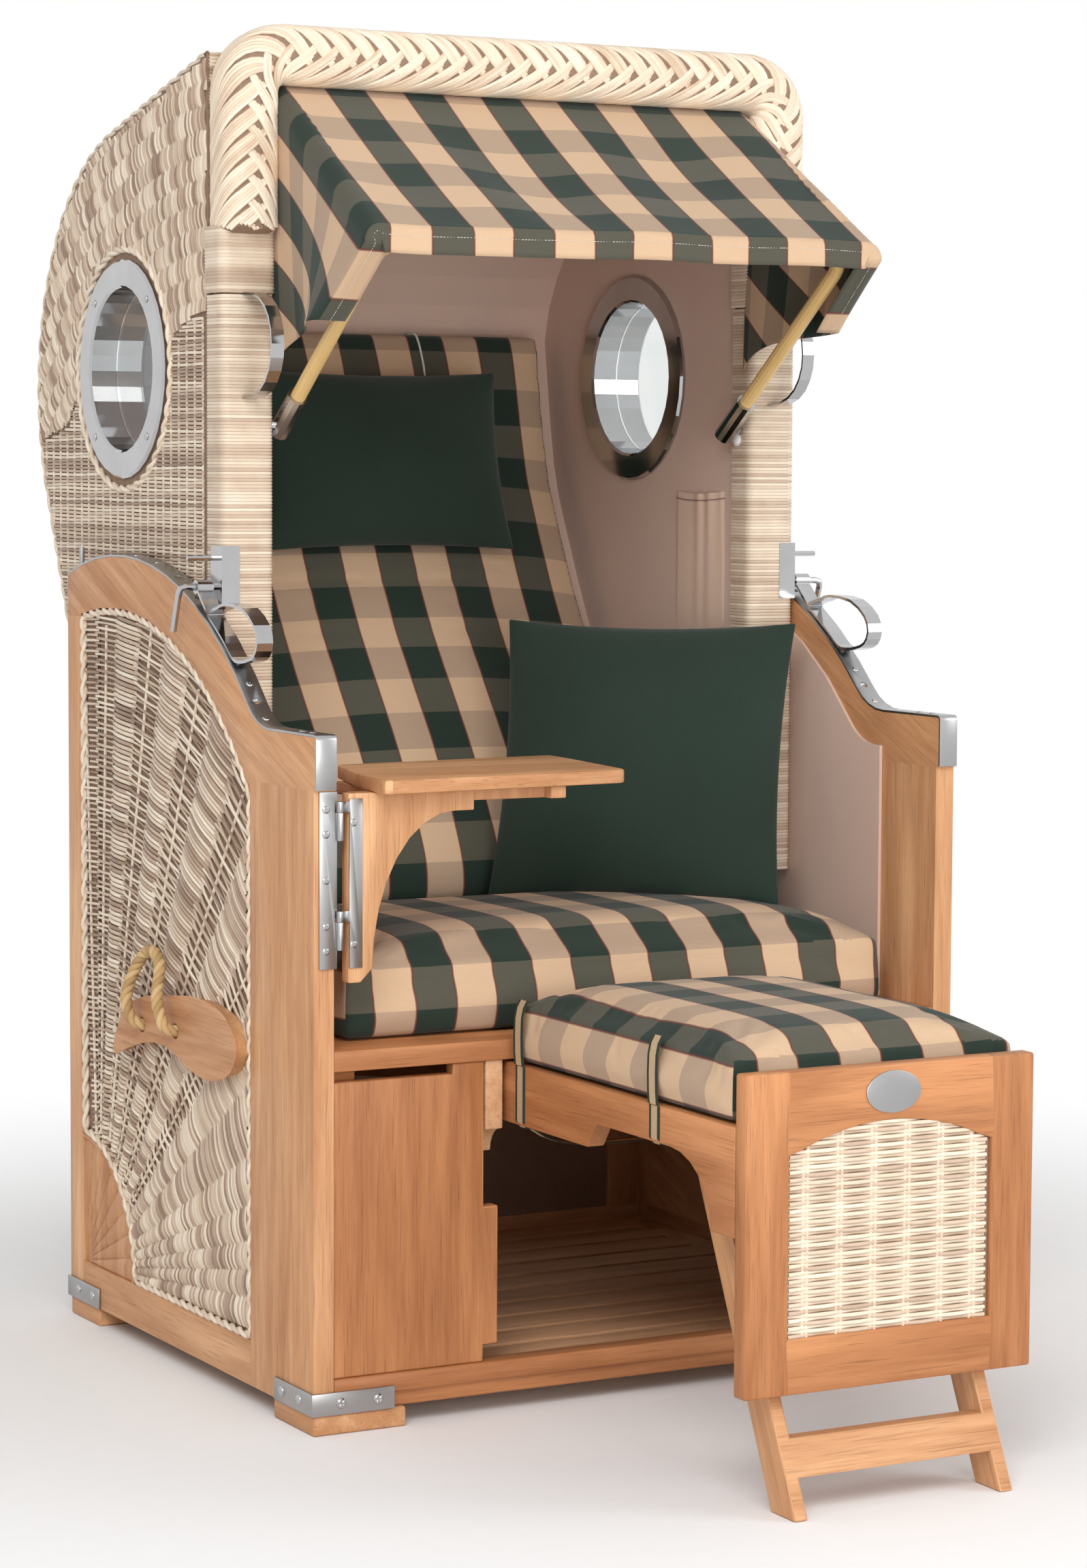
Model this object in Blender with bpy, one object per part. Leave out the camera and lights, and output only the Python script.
"""A hooded beach chair: teak base with woven sides, tilting wicker hood, canopy,
folding table and pull-out footrest. Metres, +Z up, the chair faces -Y.

Heights are measured from the floor and depths from the front plane of the base;
the frame empty then moves the whole chair so that its box is centred on the origin.
"""
import math

import bmesh
import bpy
from mathutils import Matrix, Vector

# Clearances
GAP = 0.0003
OVERRUN = 0.01
RUNNING_GAP = 0.0005

# Base
BASE_HALF_WIDTH = 0.426
BASE_DEPTH = 0.727
BOARD = 0.025
FOOT_HEIGHT = 0.0225
FOOT_WIDTH = 0.1156
FRONT_FOOT_DEPTH = 0.1065
REAR_FOOT_DEPTH = 0.095
FRONT_POST_DEPTH = 0.17
REAR_POST_DEPTH = 0.042
SIDE_RAIL_TOP = 0.075
ARM_TOP = 0.787
ARM_FLAT = 0.118
ARM_OVERHANG = 0.004
ARM_NOSE_RADIUS = 0.006
ARM_JOINT_HEIGHT = 0.7245
OPENING_CENTRE = (0.577, 0.387)
OPENING_RADIUS = 0.5205
FAN_RADIUS = 0.163
FAN_RECESS = 0.004
SIDE_WICKER = 0.010
SIDE_WICKER_INSET = 0.0025

# Hood pivot and the steel strap that the lever peg locks into
PIVOT = (0.56, 0.436)
PIVOT_PIN_RADIUS = 0.012
PIVOT_BOSS_RADIUS = 0.03
PIVOT_STILE_WIDTH = 0.07
PIVOT_STILE = 0.012
PIVOT_STILE_TOP = 0.93
STRAP_RADIUS = 0.537
STRAP = 0.0025
STRAP_SETBACK = 0.001
STRAP_HOLE_RADIUS = 0.0048
STRAP_HOLE_COUNT = 7
FIRST_HOLE_ANGLE = math.radians(135.2)
HOLE_STEP_ANGLE = math.radians(7.1)
STRAP_PIN_INSET = 0.017
STRAP_PIN_RADIUS = 0.0035
STRAP_PIN_TOP = 0.979

# Side linings
LINING = 0.004
LINING_RADIUS = 0.50
LINING_TOP = 0.743
LINING_FRONT = 0.117
LINING_REAR = 0.505
LINING_FLAT = 0.128

# Rails, floor, rear
FRONT_RAIL_TOP = 0.062
FRONT_RAIL_DEPTH = 0.028
FRONT_RAIL_STEP = 0.006
FRONT_RAIL_STEP_TOP = 0.040
REAR_FRAME = 0.022
REAR_FRAME_TOP = 0.40
REAR_RAIL = 0.05
REAR_WICKER = 0.008
FLOOR_TOP = 0.055
FLOOR = 0.015
FLOOR_FRONT = 0.032
FLOOR_EDGE = 0.035
FLOOR_SLOT = 0.012
FLOOR_SLOT_COUNT = 9
BRACKET_ARM = 0.10
BRACKET = 0.003
BRACKET_TOP = 0.0486

# Seat
SEAT_TOP = 0.433
SEAT_BOARD = 0.0145
SEAT_LIP_BOTTOM = 0.4095
SEAT_LIP = 0.024
SEAT_REAR = 0.50
SEAT_BATTEN = 0.0365
SEAT_BATTEN_BOTTOM = 0.394
SEAT_BATTEN_FRONT = 0.0225
SEAT_CUSHION_CLEARANCE = 0.036
SEAT_CUSHION_DEPTH = 0.405
SEAT_CUSHION = 0.117
SEAT_CUSHION_FRONT = 0.05

# Front boards and runners
FRONT_BOARD_INNER = 0.2106
FRONT_BOARD_SETBACK = 0.003
FRONT_BOARD = 0.018
FRONT_BOARD_TOP = 0.397
FRONT_STILE = 0.04
GUIDE_STRIP_INNER = 0.192
GUIDE_STRIP_BOTTOM = 0.082
GUIDE_STRIP_TOP = 0.242
RUNNER_INNER = 0.186
RUNNER = 0.022
RUNNER_BOTTOM = 0.30
RUNNER_FRONT = 0.004
RUNNER_REAR = 0.505
RUNNER_COVE = 0.03

# Footrest
FOOTREST_HALF_WIDTH = 0.18
FOOTREST_RAIL = 0.022
FOOTREST_RAIL_TOP = 0.406
FOOTREST_RAIL_BOTTOM = 0.3655
FOOTREST_PAD_BOTTOM = 0.337
FOOTREST_PAD_FRONT = -0.182
FOOTREST_PAD_SLOPE = 0.02
FOOTREST_RAIL_REAR = 0.065
FOOTREST_GUSSET_REAR = -0.36
FOOTREST_GUSSET_FRONT = -0.445
FOOTREST_GUSSET_BOTTOM = 0.290
FOOTREST_DECK = 0.007
FOOTREST_CROSS_BAR = 0.02
FOOTREST_CROSS_BAR_HEIGHT = 0.036
FOOTREST_PANEL_FRONT = -0.515
FOOTREST_PANEL = 0.022
FOOTREST_PANEL_BOTTOM = 0.124
FOOTREST_PANEL_TOP = 0.463
FOOTREST_STILE = 0.054
FOOTREST_BOTTOM_RAIL = 0.059
FOOTREST_ARCH_SPRING = 0.38
FOOTREST_ARCH_RISE = 0.024
FOOTREST_ARCH_SHOULDER = 0.015
FOOTREST_WICKER = 0.010
FOOTREST_CUSHION_SIZE = (0.36, 0.482, 0.092)
FOOTREST_CUSHION_REAR = -0.003
GUIDE_PEG_RADIUS = 0.006
GUIDE_PEG_DEPTH = 0.052
GUIDE_PEG_HEIGHT = 0.372
GUIDE_PEG_PITCH = 0.024
GUIDE_PEG_REACH = 0.018
FOOTREST_TRAVEL = 0.44
SLIDE_SLOPE_share = 0.1175

# Folding leg
LEG_HALF_WIDTH = 0.137
LEG = 0.0165
LEG_DEPTH = 0.043
LEG_LEAN_ANGLE = math.radians(25)
LEG_PIVOT = (-0.3515, 0.370)
LEG_PIN_RADIUS = 0.005
LEG_BAR_BOTTOM = 0.04
LEG_BAR_HEIGHT = 0.038
LEG_BAR_share = 0.2

# Table
TABLE_RISE = 0.0125
TABLE = 0.016
TABLE_AXIS_INSET = 0.005
TABLE_AXIS_DEPTH = -0.0045
TABLE_REAR_LEFT = (0.094, 0.192)
TABLE_LEFT = (0.055, 0.050)
TABLE_FRONT_LEFT = (0.041, -0.041)
TABLE_FRONT_RIGHT = (0.367, -0.010)
TABLE_RIGHT = (0.388, 0.160)
TABLE_REAR_RIGHT = (0.392, 0.220)
TABLE_CORNER = 0.012
TABLE_BRACKET_INSET = 0.017
TABLE_BRACKET_FRONT = -0.002
TABLE_BRACKET = 0.018
TABLE_BRACKET_LIFT = 0.076
TABLE_BRACKET_ARM = 0.024
TABLE_BRACKET_REACH = 0.157
TABLE_BRACKET_FOOT = 0.03
TABLE_CLEAT_WIDTH = 0.02
TABLE_CLEAT = 0.014
TABLE_CLEAT_INSET = 0.12
TABLE_CLEAT_REAR = 0.16
TABLE_CLEAT_FRONT = 0.02
HINGE_LEAF = 0.0025
HINGE_LEAF_WIDTH = 0.019
HINGE_LEAF_LIFT = 0.093
HINGE_LEAF_SETBACK = 0.001
TABLE_LEAF_WIDTH = 0.016
TABLE_LEAF_share = 0.957
KNUCKLE_RADIUS = 0.0042
KNUCKLE_shares = (0.1063, 0.7241)
KNUCKLE_LENGTH_share = 0.157
TABLE_KNUCKLE_share = 0.061

# Carry handles
HANDLE = 0.019
HANDLE_ROUND = 0.0048
HANDLE_PLACE = (0.177, 0.366)
HANDLE_SIZE = (0.362, 0.091)
HANDLE_OUTLINE_shares = (
    (0.0, 0.50), (0.03, 0.72), (0.12, 0.92), (0.30, 1.0), (0.50, 0.93), (0.74, 0.80), (0.91, 0.54),
    (1.0, 0.0), (0.90, 0.11), (0.76, 0.26), (0.62, 0.33), (0.50, 0.28), (0.36, 0.13), (0.24, 0.06),
    (0.12, 0.12), (0.04, 0.26))
ROPE_RADIUS = 0.0075
ROPE_HOLE_RADIUS = 0.0093
ROPE_HOLES = ((0.350, 0.413), (0.451, 0.408))
# The route of a carry rope: out from the weave's face, depth and height
ROPE_ROUTE = (
    (0.0060, 0.3500, 0.4130), (0.0165, 0.3500, 0.4130), (0.0245, 0.3515, 0.4145), (0.0313, 0.3550, 0.4200),
    (0.0340, 0.3610, 0.4310), (0.0335, 0.3690, 0.4440), (0.0300, 0.3780, 0.4570), (0.0250, 0.3860, 0.4690),
    (0.0200, 0.3940, 0.4810), (0.0165, 0.4050, 0.4920), (0.0150, 0.4200, 0.4990), (0.0147, 0.4360, 0.4995),
    (0.0165, 0.4500, 0.4935), (0.0200, 0.4600, 0.4820), (0.0250, 0.4655, 0.4680), (0.0300, 0.4665, 0.4540),
    (0.0340, 0.4645, 0.4400), (0.0340, 0.4600, 0.4270), (0.0313, 0.4560, 0.4170), (0.0245, 0.4520, 0.4100),
    (0.0165, 0.4510, 0.4080), (0.0060, 0.4510, 0.4080))

# Hood
HOOD_SIDE_CLEARANCE = 0.0075
HOOD_WALL = 0.06
HOOD_BACK = 0.025
HOOD_ARC_CENTRE = (0.582, 1.177)
HOOD_ARC_RADIUS = 0.322
HOOD_ROOF_ANGLE = math.radians(76)
HOOD_LOBE_RADIUS = 0.05
HOOD_FRONT_BOTTOM = 0.572
HOOD_LINING = 0.0025
POLE_FRONT = 0.318
POLE_DEPTH = 0.042
POLE_WIDTH = 0.064
POLE_SQUARE_share = 0.6
BRAID_TOP = 1.594
BRAID_INNER = 1.528
BRAID_BOTTOM = 1.36
BRAID_BULGE = 0.026
BRAID_CORNER = 0.06
BACKREST = ((0.476, 0.518), (0.600, 0.690), (0.713, 0.835), (0.790, 0.975), (0.836, 1.085), (0.8645, 1.255))
HOOD_KNEE = (0.475, 0.560)

# Portholes
PORTHOLE = (0.615, 1.20)
PORTHOLE_BORE = 0.10
PORTHOLE_TUBE = 0.0055
PORTHOLE_FLANGE_RADIUS = 0.135
PORTHOLE_FLANGE = 0.0065
PORTHOLE_FLANGE_EDGE = 0.003
PORTHOLE_GLASS = 0.005

# Hood cushions
BACK_CUSHION_CLEARANCE = 0.0335
BACK_CUSHION = 0.07
NECK_PILLOW_SIZE = (0.36, 0.24, 0.115)
NECK_PILLOW_HEIGHT = 1.09
NECK_PILLOW_LEAN_ANGLE = math.radians(14)
NECK_PILLOW_DEPTH = 0.697
SCATTER_SIZE = (0.37, 0.36, 0.12)
SCATTER_INSET = 0.216
SCATTER_DEPTH = 0.335
SCATTER_TURN_ANGLE = math.radians(42)
SCATTER_LEAN_ANGLE = math.radians(17)
SCATTER_LIFT = -0.0053

# Grab handles and levers
GRAB_BOTTOM = 1.16
GRAB_TOP = 1.285
GRAB_FRONT = 0.233
GRAB_WIDTH = 0.016
GRAB_STEEL = 0.003
GRAB_BOW_share = 0.75
LEVER_AXIS = (0.33, 0.94)
LEVER_ROD_RADIUS = 0.004
LEVER_ROD_CLEARANCE = 0.018
LEVER_ROD_DROP = (0.018, -0.052)
LEVER_BRACKET_BOTTOM = 0.918
LEVER_BRACKET_TOP = 0.988
LEVER_BRACKET_WIDTH = 0.0205
LEVER_BRACKET_DEPTH = 0.03
LEVER_BRACKET = 0.0025
LEVER_STOP_RADIUS = 0.0032
LEVER_STOP_RISE = 0.034
LEVER_STOP_OVERHANG = 0.008
LEVER_STEEL = 0.0035
LEVER_WIDTH = 0.020
LEVER_EYE_RADIUS = 0.0085
LEVER_LIFT = 0.0012
LEVER_TAIL_ANGLE = math.radians(119.9)
LEVER_LOOP = ((0.2945, 0.9085), (0.290, 0.9125), (0.268, 0.9175), (0.2458, 0.9225), (0.198, 0.918),
              (0.1655, 0.900), (0.157, 0.881), (0.166, 0.866), (0.185, 0.860), (0.208, 0.8575))
LEVER_PEG_RADIUS = 0.0035

# Canopy
BAIL_AXIS = (0.337, 1.130)
BAIL_CLEARANCE = 0.0215
BAIL_CORNER = (0.065, 1.337)
BAIL_RADIUS = 0.009
BAIL_BEND = 0.035
SOCKET_RADIUS = 0.0125
SOCKET_LENGTH = 0.055
SOCKET_PIN_RADIUS = 0.006
CANOPY = 0.003
CANOPY_REAR = (0.326, 1.5272)
CANOPY_FRONT = (0.047, 1.3525)
CANOPY_CLEARANCE = 0.0005
CANOPY_FLARE = 0.014
CANOPY_REAR_DROP = 0.325
CANOPY_FRONT_DROP = 0.075
CANOPY_DROP_share = 0.8
CANOPY_CORNER = 0.022
CANOPY_FOLD = 0.007
CANOPY_FOLD_COUNT = 5
CANOPY_ROW_COUNT = 8
CANOPY_OVER_COUNT = 13
CANOPY_SAG = 0.010

# Places that follow from the sizes
INNER_X = BASE_HALF_WIDTH - BOARD
SIDE_BOTTOM = FOOT_HEIGHT + GAP
STRAP_X = BASE_HALF_WIDTH - BOARD / 2
STRAP_PIN_DEPTH = BASE_DEPTH - STRAP_PIN_INSET
HOOD_HALF_WIDTH = INNER_X - HOOD_SIDE_CLEARANCE
CAVITY_HALF_WIDTH = HOOD_HALF_WIDTH - HOOD_WALL
SPAN = INNER_X - GAP
POLE_INNER = HOOD_HALF_WIDTH - POLE_WIDTH
BAIL_HALF_WIDTH = POLE_INNER - BAIL_CLEARANCE
CANOPY_REAR_HALF_WIDTH = POLE_INNER - CANOPY_CLEARANCE
CANOPY_FRONT_HALF_WIDTH = CANOPY_REAR_HALF_WIDTH + CANOPY_FLARE
BACK_CUSHION_HALF_WIDTH = CAVITY_HALF_WIDTH - BACK_CUSHION_CLEARANCE
TABLE_AXIS = -(INNER_X - TABLE_AXIS_INSET)
TABLE_TOP = ARM_JOINT_HEIGHT + TABLE_RISE
TABLE_BRACKET_BOTTOM = SEAT_TOP + TABLE_BRACKET_LIFT
HINGE_LEAF_BOTTOM = SEAT_TOP + HINGE_LEAF_LIFT
HINGE_LEAF_TOP = ARM_JOINT_HEIGHT - HINGE_LEAF_SETBACK
HINGE_LEAF_LENGTH = HINGE_LEAF_TOP - HINGE_LEAF_BOTTOM
TABLE_LEAF_TOP = HINGE_LEAF_BOTTOM + TABLE_LEAF_share * HINGE_LEAF_LENGTH
KNUCKLE = KNUCKLE_LENGTH_share * HINGE_LEAF_LENGTH
TABLE_KNUCKLE = TABLE_KNUCKLE_share * HINGE_LEAF_LENGTH
KNUCKLE_BOTTOMS = [HINGE_LEAF_BOTTOM + share * HINGE_LEAF_LENGTH for share in KNUCKLE_shares]
STRAP_FRONT_BOTTOM = ARM_JOINT_HEIGHT + STRAP_SETBACK
LEG_SLOPE_share = math.tan(LEG_LEAN_ANGLE)
LEG_FOOT = LEG_PIVOT[0] - LEG_PIVOT[1] * LEG_SLOPE_share
LEG_HALF_RUN = LEG_DEPTH / 2 / math.cos(LEG_LEAN_ANGLE)
FRONT_MOST = LEG_FOOT - LEG_HALF_RUN
REAR_MOST = HOOD_ARC_CENTRE[0] + HOOD_ARC_RADIUS
CENTRE_SHIFT = -(FRONT_MOST + REAR_MOST) / 2

SIDES = (("left", -1), ("right", 1))
AXES = {"x": (1, 2), "y": (0, 2), "z": (0, 1)}
ARC_STEP_ANGLE = math.radians(9)


# Scene, bodies and materials
def clear_scene():
    for item in list(bpy.data.objects):
        bpy.data.objects.remove(item, do_unlink=True)


def add_empty(name, place, parent=None):
    """An empty on a joint's axis; place is in the chair's own measures."""
    empty = bpy.data.objects.new(name, None)
    bpy.context.collection.objects.link(empty)
    empty.location = Vector(place)
    if parent:
        empty.parent = parent
        empty.location -= Vector(parent["place"])
    empty["place"] = list(place)
    return empty


def make_bodies():
    frame = add_empty("frame", (0, 0, 0))
    frame.location = (0, CENTRE_SHIFT, 0)
    hood = add_empty("hood_axis", (0, *PIVOT), frame)
    footrest = add_empty("footrest_axis", (0, GUIDE_PEG_DEPTH, GUIDE_PEG_HEIGHT), frame)
    bodies = {"root": frame, "hood": hood, "footrest": footrest}
    bodies["leg"] = add_empty("leg_axis", (0, *LEG_PIVOT), footrest)
    bodies["table"] = add_empty("table_axis", (TABLE_AXIS, TABLE_AXIS_DEPTH, TABLE_TOP), frame)
    bodies["bail"] = add_empty("bail_axis", (0, *BAIL_AXIS), hood)
    for name, side in SIDES:
        bodies["lever_" + name] = add_empty("lever_axis_" + name, (side * STRAP_X, *LEVER_AXIS), hood)
    return bodies


def make_material(name, colour, roughness, metallic=0.0):
    made = bpy.data.materials.new(name)
    made.use_nodes = True
    shader = made.node_tree.nodes["Principled BSDF"]
    shader.inputs["Base Color"].default_value = (*colour, 1.0)
    shader.inputs["Roughness"].default_value = roughness
    shader.inputs["Metallic"].default_value = metallic
    made.diffuse_color = (*colour, 1.0)
    return made


def make_finishes():
    return {
        "teak": ((0.58, 0.29, 0.13), 0.5, 0.0), "wicker": ((0.60, 0.46, 0.34), 0.6, 0.0),
        "lining": ((0.42, 0.27, 0.21), 0.9, 0.0), "steel": ((0.62, 0.62, 0.62), 0.25, 1.0),
        "chrome": ((0.8, 0.8, 0.8), 0.08, 1.0), "glass": ((0.8, 0.9, 0.88), 0.03, 0.0),
        "check": ((0.22, 0.19, 0.11), 0.9, 0.0), "green": ((0.012, 0.03, 0.02), 0.9, 0.0),
        "rope": ((0.55, 0.33, 0.12), 0.9, 0.0), "cream": ((0.70, 0.48, 0.18), 0.4, 0.0)}


# Outlines, as lists of two numbers
def arc(centre, radius, start, end, step=ARC_STEP_ANGLE):
    count = max(2, math.ceil(abs(end - start) / step))
    angles = [start + (end - start) * i / count for i in range(count + 1)]
    return [(centre[0] + radius * math.cos(a), centre[1] + radius * math.sin(a)) for a in angles]


def circle(centre, radius, count=16):
    return arc(centre, radius, 0, math.tau, math.tau / count)[:-1]


def rectangle(low_a, high_a, low_b, high_b):
    return [(low_a, low_b), (high_a, low_b), (high_a, high_b), (low_a, high_b)]


def angle_of(centre, point):
    return math.atan2(point[1] - centre[1], point[0] - centre[0])


def rounded(points, radius, count=3):
    """The outline with each corner cut back and turned into a short curve."""
    made = []
    for i, corner in enumerate(points):
        corner = Vector(corner)
        before = (Vector(points[i - 1]) - corner).normalized() * radius
        after = (Vector(points[(i + 1) % len(points)]) - corner).normalized() * radius
        for k in range(count + 1):
            t = k / count
            made.append(tuple(corner + before * (1 - t) ** 2 + after * t ** 2))
    return made


def smooth(points, count=4, closed=True):
    """A Catmull-Rom curve through the points, for free outlines and routes."""
    made = []
    total = len(points)
    spans = total if closed else total - 1
    for i in range(spans):
        if closed:
            near = [Vector(points[(i + k) % total]) for k in (-1, 0, 1, 2)]
        else:
            near = [Vector(points[min(max(i + k, 0), total - 1)]) for k in (-1, 0, 1, 2)]
        p, q, r, s = near
        for k in range(count):
            t = k / count
            made.append(0.5 * (2 * q + (r - p) * t + (2 * p - 5 * q + 4 * r - s) * t ** 2
                               + (3 * q - p - 3 * r + s) * t ** 3))
    if not closed:
        made.append(Vector(points[-1]))
    return [tuple(v) for v in made]


def offset(points, distance, closed=True):
    """The outline moved sideways; positive is to the left of its direction."""
    made = []
    total = len(points)
    for i, point in enumerate(points):
        last = points[i - 1] if closed or i else point
        following = points[(i + 1) % total] if closed or i < total - 1 else point
        along = (Vector(following) - Vector(last)).normalized()
        made.append((point[0] - along.y * distance, point[1] + along.x * distance))
    return made


# Solids, as bmeshes in the chair's own measures
def point_on(axis, place, a, b):
    point = [0.0, 0.0, 0.0]
    point["xyz".index(axis)] = place
    point[AXES[axis][0]] = a
    point[AXES[axis][1]] = b
    return point


def prism(axis, loops, low, high):
    """Closed outlines, the outer one first and holes after it, extruded along an axis."""
    low, high = min(low, high), max(low, high)
    bm = bmesh.new()
    edges = []
    for loop in loops:
        verts = [bm.verts.new(point_on(axis, low, a, b)) for a, b in loop]
        edges += [bm.edges.new((verts[i - 1], verts[i])) for i in range(len(verts))]
    bmesh.ops.triangle_fill(bm, edges=edges, use_beauty=True)
    grown = bmesh.ops.extrude_face_region(bm, geom=bm.faces[:])
    moved = [item for item in grown["geom"] if isinstance(item, bmesh.types.BMVert)]
    bmesh.ops.translate(bm, verts=moved, vec=point_on(axis, high - low, 0, 0))
    bmesh.ops.recalc_face_normals(bm, faces=bm.faces)
    return bm


def box(low_x, high_x, low_y, high_y, low_z, high_z):
    return prism("z", [rectangle(low_x, high_x, low_y, high_y)], low_z, high_z)


def loft(rings, closed=False):
    """Skin a row of rings with the same count of points, capped unless closed."""
    bm = bmesh.new()
    rows = [[bm.verts.new(point) for point in ring] for ring in rings]
    pairs = list(zip(rows, rows[1:])) + ([(rows[-1], rows[0])] if closed else [])
    for row, following in pairs:
        for i in range(len(row)):
            bm.faces.new((row[i - 1], row[i], following[i], following[i - 1]))
    if not closed:
        bm.faces.new(rows[0])
        bm.faces.new(rows[-1])
    bmesh.ops.recalc_face_normals(bm, faces=bm.faces)
    return bm


def turned(profile, centre, count=32):
    """A closed profile of (radius, x) points turned about an axis along X."""
    rings = []
    for i in range(count):
        a = math.tau * i / count
        rings.append([(x, centre[0] + r * math.cos(a), centre[1] + r * math.sin(a)) for r, x in profile])
    return loft(rings, closed=True)


def tube(route, radius, count=10):
    """A round bar along a route, with square ends."""
    route = [Vector(point) for point in route]
    rings = []
    side = None
    for i, point in enumerate(route):
        along = (route[min(i + 1, len(route) - 1)] - route[max(i - 1, 0)]).normalized()
        if side is None:
            side = along.orthogonal()
        side = (side - along * side.dot(along)).normalized()
        other = along.cross(side)
        angles = [math.tau * k / count for k in range(count)]
        rings.append([point + (side * math.cos(a) + other * math.sin(a)) * radius for a in angles])
    return loft(rings)


def cushion(size, place, edge_share=0.3, pull_share=0.03, flat_back=False, cells=(12, 10), power=4):
    """Two crowned sheets joined by a band; place maps (across, along, out) to the chair."""
    width, length, thick = size
    edge = thick * edge_share
    bm = bmesh.new()
    for face in (1, -1):
        made = bmesh.ops.create_grid(bm, x_segments=cells[0], y_segments=cells[1], size=1)["verts"]
        for vert in made:
            u = math.sin(vert.co.x * math.pi / 2)
            v = math.sin(vert.co.y * math.pi / 2)
            crown = (1 - abs(u) ** power) * (1 - abs(v) ** power)
            rise = edge / 2 + (thick - edge) / 2 * crown
            if flat_back:
                rise = edge + (thick - edge) * crown if face == 1 else 0
            across = width / 2 * u * (1 - pull_share * (1 - v * v))
            along = length / 2 * v * (1 - pull_share * (1 - u * u))
            vert.co = place(across, along, face * rise)
    rim = [edge for edge in bm.edges if edge.is_boundary]
    bmesh.ops.bridge_loops(bm, edges=rim)
    bmesh.ops.recalc_face_normals(bm, faces=bm.faces)
    return bm


# Objects
def add(name, bm, finish, body, smooth_shade=False, joined=(), cut=()):
    """One named piece on its body, with pieces joined to it and cutters taken away."""
    piece = link(name, bm, body)
    piece.data.materials.append(FINISHES[finish])
    if smooth_shade:
        piece.data.shade_smooth()
        piece.data.set_sharp_from_angle(angle=math.radians(40))
    for operation, helpers in (("UNION", joined), ("DIFFERENCE", cut)):
        for i, helper in enumerate(helpers):
            other = link(f"{name}_{operation.lower()}_{i}", helper, body)
            other.hide_render = True
            other.display_type = "WIRE"
            modifier = piece.modifiers.new(operation.lower(), "BOOLEAN")
            modifier.operation = operation
            modifier.solver = "EXACT"
            modifier.object = other
    return piece


def link(name, bm, body):
    mesh = bpy.data.meshes.new(name)
    bmesh.ops.translate(bm, verts=bm.verts, vec=-Vector(BODIES[body]["place"]))
    bm.to_mesh(mesh)
    bm.free()
    piece = bpy.data.objects.new(name, mesh)
    bpy.context.collection.objects.link(piece)
    piece.parent = BODIES[body]
    return piece


# Base
def arm_line(drop, rear=BASE_DEPTH):
    """The S-shaped top of a side, from the rear to the nose, a drop below the strap's top."""
    a, b = ARM_FLAT - PIVOT[0], ARM_TOP - PIVOT[1]
    fillet = (a * a + b * b - STRAP_RADIUS ** 2) / (2 * (STRAP_RADIUS - b))
    fillet_centre = (ARM_FLAT, ARM_TOP + fillet)
    meet = angle_of(PIVOT, fillet_centre)
    radius = STRAP_RADIUS - drop
    start = math.acos((rear - PIVOT[0]) / radius)
    points = arc(PIVOT, radius, start, meet, math.radians(5))
    back = angle_of(fillet_centre, PIVOT)
    points += arc(fillet_centre, fillet + drop, back, -math.pi / 2, math.radians(12))[1:]
    nose_radius = max(ARM_NOSE_RADIUS - drop, GAP)
    front = drop - ARM_OVERHANG - GAP - STRAP
    nose_centre = (front + nose_radius, ARM_TOP - drop - nose_radius)
    return points + arc(nose_centre, nose_radius, math.pi / 2, math.pi, math.radians(30))


def side_opening(inset):
    """The opening of a side frame that the woven panel fills, over the carved fan corner."""
    cx, cz = OPENING_CENTRE
    radius = OPENING_RADIUS - inset
    rear = BASE_DEPTH - REAR_POST_DEPTH - inset
    front = FRONT_POST_DEPTH + inset
    bottom = SIDE_RAIL_TOP + inset
    top = arc(OPENING_CENTRE, radius, math.acos((rear - cx) / radius), math.acos((front - cx) / radius))
    fan = (BASE_DEPTH - REAR_POST_DEPTH, SIDE_RAIL_TOP)
    fan_radius = FAN_RADIUS + inset
    low = math.asin(inset / fan_radius)
    return top + [(front, bottom)] + arc(fan, fan_radius, math.pi - low, math.pi / 2 + low)


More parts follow.
